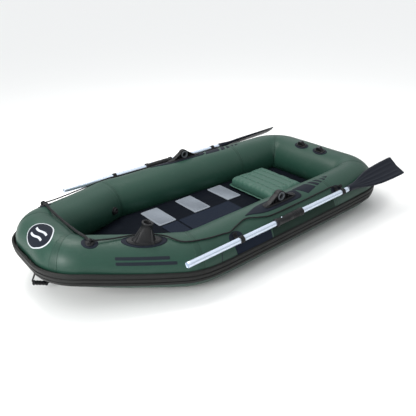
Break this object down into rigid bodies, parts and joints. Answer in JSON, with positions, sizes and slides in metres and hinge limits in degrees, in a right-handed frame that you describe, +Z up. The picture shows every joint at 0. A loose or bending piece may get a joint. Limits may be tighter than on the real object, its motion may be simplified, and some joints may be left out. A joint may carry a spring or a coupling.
{
  "type": "inflatable rowing boat",
  "caption": "Inflatable rowing boat: tapered tube ring with raised bow, rub strake, air floor, inflated seat, oarlocks, stowed oars, rod holder and grab lines.",
  "frame": {"origin": "ground line under the middle of the hull, on the bottom sheet's underside", "axes": "+X to the bow, +Y to port, +Z up"},
  "size_m": [2.3334, 1.3122, 0.4305],
  "materials": {
    "hull_fabric": "satin coated fabric",
    "strake_rubber": "matte moulded rubber",
    "bottom_fabric": "matte coated fabric",
    "mat_fabric": "matte coated fabric",
    "board_fabric": "matte textured",
    "panel_fabric": "matte coated fabric",
    "seat_fabric": "satin coated fabric",
    "pad_rubber": "matte rubber",
    "fitting_rubber": "satin moulded rubber",
    "liner_plastic": "matte",
    "shaft_aluminium": "satin drawn tube",
    "blade_plastic": "matte",
    "rope_fibre": "braided"
  },
  "bodies": {
    "hull": {"bow_tube": "hull_fabric", "stern_tube": "hull_fabric", "bow_quarter_tube_port": "hull_fabric", "bow_quarter_tube_starboard": "hull_fabric", "side_tube_port": "hull_fabric", "side_tube_starboard": "hull_fabric", "stern_quarter_tube_port": "hull_fabric", "stern_quarter_tube_starboard": "hull_fabric", "rub_strake": "strake_rubber", "hull_bottom_sheet": "bottom_fabric", "floor_mat": "mat_fabric", "floor_board_1": "board_fabric", "floor_board_2": "board_fabric", "floor_board_3": "board_fabric", "floor_panel_port_1": "panel_fabric", "floor_panel_port_2": "panel_fabric", "keeper_port_forward_pad": "pad_rubber", "keeper_port_forward_strap": "fitting_rubber", "keeper_port_aft_pad": "pad_rubber", "keeper_port_aft_strap": "fitting_rubber", "oarlock_port_pad": "pad_rubber", "oarlock_port_arch": "fitting_rubber", "oarlock_port_liner": "liner_plastic", "bow_eye_port_pad": "pad_rubber", "bow_eye_port_lug": "fitting_rubber", "stern_lug_port_pad": "pad_rubber", "stern_lug_port": "fitting_rubber", "keeper_starboard_forward_pad": "pad_rubber", "keeper_starboard_forward_strap": "fitting_rubber", "keeper_starboard_aft_pad": "pad_rubber", "keeper_starboard_aft_strap": "fitting_rubber", "oarlock_starboard_pad": "pad_rubber", "oarlock_starboard_arch": "fitting_rubber", "oarlock_starboard_liner": "liner_plastic", "bow_eye_starboard_pad": "pad_rubber", "bow_eye_starboard_lug": "fitting_rubber", "stern_lug_starboard_pad": "pad_rubber", "stern_lug_starboard": "fitting_rubber", "rod_holder_pad": "pad_rubber", "rod_holder_socket": "fitting_rubber", "valve_base": "fitting_rubber", "handle_pad": "pad_rubber", "grab_line_bow": "rope_fibre", "grab_line_port": "rope_fibre", "grab_line_starboard": "rope_fibre"},
    "oar_port_handle": {"oar_port_handle_shaft": "shaft_aluminium", "oar_port_coupling_sleeve": "fitting_rubber"},
    "oar_port_blade": {"oar_port_blade_shaft": "shaft_aluminium", "oar_port_blade": "blade_plastic"},
    "oar_starboard_handle": {"oar_starboard_handle_shaft": "shaft_aluminium", "oar_starboard_coupling_sleeve": "fitting_rubber"},
    "oar_starboard_blade": {"oar_starboard_blade_shaft": "shaft_aluminium", "oar_starboard_blade": "blade_plastic"},
    "seat": {"seat_cushion": "seat_fabric"},
    "bow_handle": {"handle_strap": "fitting_rubber", "handle_grip": "fitting_rubber"},
    "valve_cap": {"valve_cap": "fitting_rubber"}
  },
  "joints": [
    {"name": "oar_port_slide", "type": "slide", "parent": "hull", "child": "oar_port_handle", "axis": [-0.9992, -0.0401, 0], "range_m": [-0.03, 0.33]},
    {"name": "oar_port_feather", "type": "hinge", "parent": "oar_port_handle", "child": "oar_port_blade", "pos_m": [-0.39502, 0.59919, 0.252], "axis": [-0.9992, -0.0401, 0], "range_deg": [-12, 56]},
    {"name": "oar_starboard_slide", "type": "slide", "parent": "hull", "child": "oar_starboard_handle", "axis": [-0.9992, 0.0401, 0], "range_m": [-0.03, 0.33]},
    {"name": "oar_starboard_feather", "type": "hinge", "parent": "oar_starboard_handle", "child": "oar_starboard_blade", "pos_m": [-0.32002, -0.6022, 0.252], "axis": [0.9992, -0.0401, 0], "range_deg": [-12, 56]},
    {"name": "seat_lift", "type": "slide", "parent": "hull", "child": "seat", "axis": [0, 0, 1], "range_m": [0, 0.2]},
    {"name": "bow_handle_swing", "type": "hinge", "parent": "hull", "child": "bow_handle", "pos_m": [1.0799, 0, 0.1316], "axis": [0.8988, 0, 0.4383], "range_deg": [-50, 50]},
    {"name": "valve_cap_turn", "type": "hinge", "parent": "hull", "child": "valve_cap", "pos_m": [0.4887, -0.2974, 0.1693], "axis": [-0.445, 0.8955, 0], "range_deg": [0, 90]}
  ]
}
